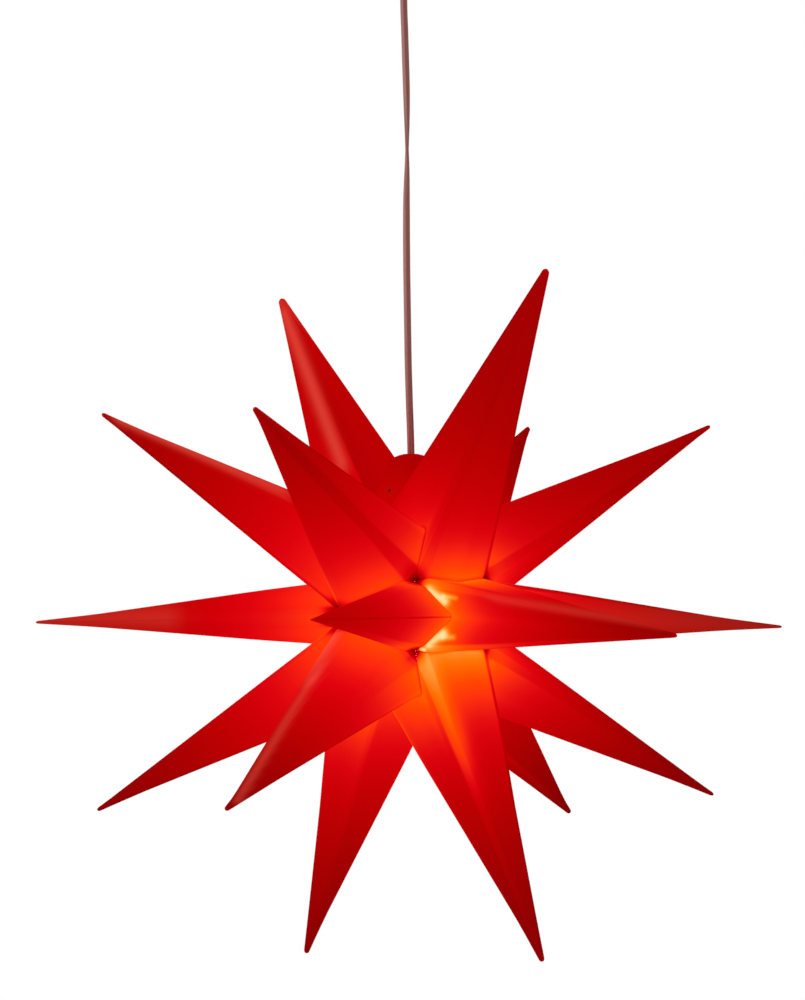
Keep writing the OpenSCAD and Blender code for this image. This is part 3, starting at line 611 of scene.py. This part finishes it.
# The light that shines through the points. How much of it each point passes, the lift toward its
# tip, and how its ribs differ from its walls, by the corner that each rib starts from
LIT = {
    "middle_point_1": (0.70, 0.0, {0: 0.27}),
    "middle_point_2": (0.76, -0.04, {3: -0.45}),
    "middle_point_5": (1.12, 0.1, {}),
    "middle_point_6": (0.80, 0.19, {1: 0.15}),
    "upper_point_1": (0.60, 0.15, {0: -0.16, 2: -0.24, 13: -0.17}),
    "upper_point_2": (0.70, 0.1, {0: -0.15}),
    "upper_point_4": (0.80, 0.37, {}),
    "upper_point_5": (1.15, 0.05, {1: -0.4}),
    "upper_point_6": (0.92, 0.08, {1: -0.2, 2: -0.35}),
    "lower_point_1": (1.03, -0.03, {4: -0.4, 6: 0.1}),
    "lower_point_2": (0.84, -0.05, {3: -0.1}),
    "lower_point_3": (1.15, -0.08, {0: 0.2}),
    "lower_point_4": (1.42, -0.03, {}),
    "lower_point_5": (1.40, -0.07, {1: -0.4, 2: -0.25}),
    "lower_point_6": (1.15, -0.07, {1: -0.3}),
}
# A point that isn't in the list passes the light as the rule gives it
PLAIN_POINT = (1, 0, {})
# Where the lift begins, in mm from the star's centre
LIFT_FROM = 75
# Painted highlights, pale streaks left by the room's light, seen from the front: from x, z to x, z in
# mm, the half width and the strength
PALE_STREAKS = {
    "upper_point_4": [(-98, 235, -52, 115, 4.5, 0.5), (-103, 246, -96, 228, 9, 0.25)],
    "upper_point_5": [(-219, 147, -92, 92, 3, 0.45)],
    "lower_point_6": [(-57, -12, -75, -49, 3.5, 0.6), (-75, -49, -124, -131, 3, 0.3)],
    "middle_point_5": [(-180, 0, -285, 0, 9, 0.2)],
    "middle_point_2": [(90, 0, 280, -5, 12, 0.12)],
    "middle_point_1": [(60, 14, 180, -6, 3, 0.2)],
    "upper_point_1": [(125, 225, 108, 150, 4, 0.2)],
}
# The bright streak down the lower front point: where it starts beside the corner of the seat, the
# point's tip, how much of the way it goes, its strength and half width, and where along it fades
BEAM_POINT, BEAM_OFFSET, BEAM_TIP, BEAM_RUN = "lower_point_1", (9, 0, -3), (47.5, 132, -254), 0.6
BEAM_STRENGTH, BEAM_WIDTH, BEAM_ENDS, BEAM_FADE = 0.5, 8.5, 0.5, 0.35
# The point that shows its mould's parting line, and a distance that counts as far from the line
PARTED_POINT, FAR_FROM_LINE = "middle_point_6", 100
# The point where the lamp all but shows through, in patches: a line from x, z to x, z in mm, the
# half width and the strength
HOT_POINT = "middle_point_1"
HOT_PATCHES = [
    (13, 20, 25, 11.5, 3.6, 1.7), (24, 16, 33, 14, 1.8, 0.8), (13, -20, 24, -12, 3.6, 1.7),
    (24, -15.5, 31, -15, 2.2, 0.9), (22, 12, 22, -12, 16, 0.25), (7.5, -24, 9.5, -24.6, 1.6, 2.0),
]


def light_marks(name, seat, end, verts, marks, outside):
    """What a point's finish reads at each place: how much of the lamp's light the wall passes (gain),
    what the neighbours add toward the tip (lift), how far it is from the gap at a corner of the seat
    (gap), the light that falls on it past the lamp's shadow (beam), how far it is from the parting
    line (parting), the pale streaks (pale), and whether its point has the hot patches (hot)."""
    gain, lift, ribs = LIT.get(name, PLAIN_POINT)
    corners = [p for p, band in seat if band]
    seat_ring = len(marks)
    level = seam_middle(0).cross(end).normalized()
    values = {label: [] for label in ("gain", "lift", "gap", "beam", "parting", "pale")}
    for i, p in enumerate(verts):
        corner_of, share = marks[i % len(marks)]
        rib = 1 + (ribs.get(corner_of, 0) * share if i < outside else 0)
        along = min(1, max(0, (p.length - LIFT_FROM) / (TIP_REACH - LIFT_FROM)))
        values["gain"].append(gain * rib)
        values["lift"].append(lift * along * rib)
        # The flange stands in the pit, so its places count by how far they are from the pit's line
        if i < seat_ring:
            values["gap"].append(min(p.cross(q).length / q.length for q in corners))
        else:
            values["gap"].append(min((p - q).length for q in corners))
        values["beam"].append(beam(p, along) if name == BEAM_POINT else 0)
        values["parting"].append(p.dot(level) if name == PARTED_POINT else FAR_FROM_LINE)
        values["pale"].append(pale(name, p) if i < outside else 0)
    values["hot"] = [1.0 if name == HOT_POINT else 0.0] * len(verts)
    return values


def beam(p, along):
    """The bright streak down the lower front point, beside its left rib."""
    start = corner_below(0) + Vector(BEAM_OFFSET)
    stop = start.lerp(at(*BEAM_TIP), BEAM_RUN)
    way = (stop - start).normalized()
    off = (p - start).cross(way).length
    fade = min(1, max(0, (BEAM_ENDS - along) / BEAM_FADE))
    return BEAM_STRENGTH * math.exp(-(off / BEAM_WIDTH) ** 2) * fade * fade * (3 - 2 * fade)


def pale(name, p):
    """The soft pale streaks that the room's light leaves along some points."""
    most = 0
    for x0, z0, x1, z1, size, strength in PALE_STREAKS.get(name, ()):
        start, place = Vector((x0, z0)), Vector((p.x, p.z))
        way = Vector((x1, z1)) - start
        run = min(1, max(0, (place - start).dot(way) / way.length_squared))
        off = (place - start - run * way).length
        most = max(most, strength * math.exp(-(off / size) ** 2))
    return most


# Where the lamp's light comes from, and how a wall that it shines through looks at each level
GLOW_CENTRE = STAR + Vector((20, -20, 4)) * MM
GLOW = [
    (0.0, (0.0, 0.0, 0.0)), (0.25, (0.235, 0.0, 0.0)), (0.45, (0.40, 0.0, 0.002)),
    (0.55, (0.48, 0.001, 0.004)), (0.65, (0.56, 0.005, 0.005)), (0.75, (0.65, 0.015, 0.005)),
    (0.85, (0.73, 0.028, 0.004)), (0.95, (0.79, 0.044, 0.002)), (1.09, (0.82, 0.065, 0.0)),
    (1.29, (0.83, 0.11, 0.0)), (1.57, (0.84, 0.18, 0.001)), (2.15, (0.85, 0.36, 0.05)),
    (2.73, (0.90, 0.62, 0.20)), (3.2, (1.0, 0.80, 0.40)),
]
GLOW_TOP = GLOW[-1][0]
# Direct light: its level at this many metres from the lamp, and how it grows toward the poles, where
# the share of the light that runs level counts as this much at least
DIRECT, DIRECT_AT, POLE_POWER, LEVEL_LEAST = 0.4, 0.075, 0.46, 0.05
# Scattered light: its level at this many metres by the poles, what it gains level with the lamp, the
# distance over which it thins out, and what it gains where the wall faces the lamp
SCATTER, SCATTER_LEVEL, SCATTER_AT, SCATTER_FADE, SCATTER_FACING = 0.51, 0.41, 0.07, 0.122, 0.52
# The shade in a gap and along the parting line, each with its half width in mm
GAP_SHADE, GAP_WIDTH, PARTING_SHADE, PARTING_WIDTH = 0.8, 8, 0.35, 0.6
# What is taken off the level all over the star
DARKER = 0.087


def lamp_light(f):
    """The level of the lamp's light in a wall: direct where the wall faces the lamp, and scattered
    light that thins out along the point."""
    place = f.place()
    away = f.vector("SUBTRACT", place, GLOW_CENTRE)
    far = f.vector("LENGTH", away)
    cosine = (f.vector("DOT_PRODUCT", away, f.normal()) / far).most(0)
    level_share = (1 - (f.axes(away)[2] / far) ** 2).most(LEVEL_LEAST)
    direct = DIRECT * cosine * (DIRECT_AT / far) ** 2 / level_share ** POLE_POWER
    thinned = ((SCATTER_AT - far) / SCATTER_FADE).power_of_e()
    scatter = (SCATTER + SCATTER_LEVEL * level_share) * thinned
    shade = 1 - GAP_SHADE * f.attribute("gap").bell(GAP_WIDTH)
    shade = shade * (1 - PARTING_SHADE * f.attribute("parting").bell(PARTING_WIDTH))
    level = (direct + scatter * (1 + SCATTER_FACING * cosine)) * shade * f.attribute("gain")
    hot = hot_light(f, place) * f.attribute("hot")
    return level + f.attribute("lift") + f.attribute("beam") + hot - DARKER


def hot_light(f, place):
    """The hot patches. Each lies along a line, and fades with the distance from it."""
    across, _, height = f.axes(f.vector("SUBTRACT", place, STAR))
    hot = 0
    for x0, z0, x1, z1, size, strength in HOT_PATCHES:
        ahead = Vector((x1 - x0, z1 - z0)).normalized()
        u, v = across - x0 * MM, height - z0 * MM
        run = (u * ahead.x + v * ahead.y).most(0).least(math.dist((x0, z0), (x1, z1)) * MM)
        off = (u - run * ahead.x) ** 2 + (v - run * ahead.y) ** 2
        hot = strength * (off / -((size * MM) ** 2)).power_of_e() + hot
    return hot


# Finishes
def star_finish():
    """Red translucent plastic. The lamp's light shows through it: bright orange where the wall is
    near the lamp and faces it, and a deep red out to the tips."""
    f = Finish("star_plastic", IOR=1.49, Specular_IOR_Level=0.0)
    glow = f.ramp(lamp_light(f) / GLOW_TOP, [(s / GLOW_TOP, colour) for s, colour in GLOW])
    return f.paint(
        Base_Color=f.mix(f.noise(14, 2) * 0.3, (0.33, 0.0004, 0.0008), (0.38, 0.0008, 0.0012)),
        Roughness=0.36 + 0.08 * f.noise(40, 3),
        # Painted highlights: the pale streaks mixed into the glow
        Emission_Color=f.mix(f.attribute("pale"), glow, (0.62, 0.085, 0.055)),
        Emission_Strength=1.0,
        Normal=f.bump(f.noise(700, 2), 0.00008, 0.3),
    )


def cap_finish():
    """The cap's red plastic, which the light inside shows through, less toward the top."""
    f = Finish("cap_plastic", IOR=1.49, Specular_IOR_Level=0.0, Emission_Strength=1.0)
    height = f.axes(f.place())[2] - (STAR.z + CAP_FADES_FROM)
    lit = f.mix((height / CAP_FADE).step(0, 1), (0.36, 0.0, 0.0), (0.24, 0.0, 0.0))
    return f.paint(
        Base_Color=f.mix(f.noise(60, 3) * 0.4, (0.26, 0.0005, 0.0008), (0.32, 0.001, 0.0012)),
        Roughness=0.32 + 0.1 * f.noise(55, 3),
        Emission_Color=lit,
        Normal=f.bump(f.noise(1100, 2), 0.00006, 0.35),
    )


def screw_finish():
    """The small dark red head of the cap's screw, with a dim painted red glow that stands in for the
    lamp's light on it.
    """
    f = Finish("screw_head_red_painted_glow", Roughness=0.5, Specular_IOR_Level=0.1, Emission_Strength=1.0)
    return f.paint(
        Base_Color=f.mix(f.noise(300, 2), (0.10, 0.001, 0.001), (0.07, 0.001, 0.001)),
        # Painted glow: the lamp's light on the screw head
        Emission_Color=f.mix(f.noise(200, 2), (0.13, 0.0, 0.0), (0.10, 0.0, 0.0)),
    )


def cup_finish():
    """The ceiling cup's satin red plastic, slightly worn in places."""
    f = Finish("satin_red", IOR=1.49, Specular_IOR_Level=0.3)
    worn = f.noise(120, 4).step(0.45, 0.75)
    return f.paint(
        Base_Color=f.mix(worn * 0.25, (0.27, 0.003, 0.007), (0.33, 0.008, 0.010)),
        Roughness=0.30 + 0.12 * f.noise(55, 3),
        Normal=f.bump(f.noise(1100, 2), 0.00006, 0.35),
    )


def moulded(name, colour, other, rough):
    """Moulded plastic or ceramic with slight clouds in its colour and sheen."""
    f = Finish(name, IOR=1.5)
    return f.paint(
        Base_Color=f.mix(f.noise(90, 3), colour, other),
        Roughness=rough + 0.1 * f.noise(60, 3),
        Normal=f.bump(f.noise(1400, 2), 0.00005, 0.3),
    )


def metal(name, colour, other, rough, streaks):
    """Metal with fine drawn streaks along one axis and cloudy tarnish."""
    f = Finish(name, Metallic=1.0)
    stretch = f.node("ShaderNodeMapping", None, {0: f.place(), 3: streaks})
    lines = f.noise(900, 3, stretch)
    cloud = f.noise(110, 4).step(0.4, 0.7)
    return f.paint(
        Base_Color=f.mix(cloud * 0.6, colour, other),
        Roughness=rough + 0.18 * lines + 0.1 * cloud,
        Normal=f.bump(lines, 0.00004, 0.4),
    )


def glass_finish():
    """Clear glass with a faint warm tint."""
    f = Finish("bulb_glass", Transmission_Weight=1.0, IOR=1.45)
    return f.paint(
        Base_Color=f.mix(f.noise(30) * 0.3, (1.0, 0.98, 0.94), (0.98, 0.95, 0.88)),
        Roughness=0.03 + 0.05 * f.noise(80, 3),
    )


def filament_finish():
    f = Finish("filament_glow", Roughness=0.6)
    hot = f.mix(f.noise(400), (1.0, 0.62, 0.22), (1.0, 0.75, 0.36))
    return f.paint(Base_Color=(0.9, 0.6, 0.3), Emission_Color=hot, Emission_Strength=6.0)


def dress_nodes(star):
    """Finishes for the CAD nodes, which keep their shapes."""
    by_slot = {
        "star_red": star,
        "cap_red": cup_finish(),
        "white_plastic": moulded("white_moulding", (0.78, 0.76, 0.70), (0.70, 0.675, 0.61), 0.42),
        "black_plastic": moulded("black_moulding", (0.018, 0.018, 0.020), (0.030, 0.029, 0.028), 0.38),
        "porcelain": moulded("glazed_ceramic", (0.83, 0.81, 0.75), (0.78, 0.755, 0.69), 0.12),
        "clip_steel": metal("zinc_plate", (0.60, 0.61, 0.63), (0.50, 0.50, 0.47), 0.30, (0.05, 1, 1)),
        "bright_steel": metal("nickel_plate", (0.72, 0.71, 0.68), (0.62, 0.60, 0.56), 0.16, (1, 1, 0.1)),
        "brass": metal("drawn_brass", (0.70, 0.50, 0.20), (0.52, 0.35, 0.13), 0.22, (1, 1, 0.1)),
        "lamp_glass": glass_finish(),
        "filament": filament_finish(),
        "cord_red": moulded("wire_pvc", (0.40, 0.16, 0.15), (0.32, 0.11, 0.10), 0.35),
    }
    by_node = {"top_cap": cap_finish(), "cap_screw": screw_finish()}
    slots = {part["node"]: part["material_slot"] for part in frame["record"]["subparts"]}
    for name, made in frame["nodes"].items():
        made.data.materials.clear()
        made.data.materials.append(by_node.get(name, by_slot[slots[name]]))


# The floor, the backdrop and the lamps, in metres and watts
FLOOR_R, FLOOR_SIDES, FLOOR_Z = 3.2, 96, -1.35
# The world's strength as light on the object. Where it is seen it is 1, which is white
WORLD_LIGHT = 0.55
# The place of each lamp, its width and its power
LAMPS = {
    "key": ((-2.2, -2.6, 1.4), 1.6, 26),
    "fill": ((2.6, -2.0, 0.2), 2.0, 12),
    "back": ((0.6, 2.8, 1.2), 2.0, 14),
}


def make_floor():
    turns = [math.tau * i / FLOOR_SIDES for i in range(FLOOR_SIDES)]
    floor = bpy.data.meshes.new("floor")
    floor.from_pydata(
        [(FLOOR_R * math.cos(a), FLOOR_R * math.sin(a), FLOOR_Z) for a in turns],
        [], [tuple(range(FLOOR_SIDES))],
    )
    made = bpy.data.objects.new("floor", floor)
    bpy.context.scene.collection.objects.link(made)
    floor.materials.append(Finish("floor_paint", Roughness=0.8, Base_Color=(0.86, 0.855, 0.85)).material)


def make_world():
    """White to the camera and in glass and metal, and dimmer as light on the object."""
    world = bpy.data.worlds.new("studio")
    bpy.context.scene.world = world
    tree = Tree(world)
    camera, through_glass, in_metal = (
        tree.node("ShaderNodeLightPath", out=f"Is {ray} Ray")
        for ray in ("Camera", "Transmission", "Glossy")
    )
    seen = camera.most(through_glass).most(in_metal)
    background = tree.nodes["Background"]
    tree.feed(background.inputs["Color"], (1, 1, 1))
    tree.feed(background.inputs["Strength"], WORLD_LIGHT + (1 - WORLD_LIGHT) * seen)


def make_lamps():
    for name, (where, size, power) in LAMPS.items():
        lamp = bpy.data.lights.new(name, "AREA")
        lamp.size, lamp.energy = size, power
        made = bpy.data.objects.new(name, lamp)
        bpy.context.scene.collection.objects.link(made)
        made.location = where
        made.rotation_euler = (Vector(where) - STAR).to_track_quat("Z", "Y").to_euler()


# The build
make_camera()
make_cord()
star = star_finish()
for level, seat, aims in (
    ("middle", middle_seat, MIDDLE_AIM),
    ("upper", upper_seat, UPPER_AIM),
    ("lower", lower_seat, LOWER_AIM),
):
    for i, aim in enumerate(aims):
        make_point(f"{level}_point_{i + 1}", seat(i), aim, star)
dress_nodes(star)
make_floor()
make_world()
make_lamps()
bpy.context.scene.view_settings.view_transform = "Standard"
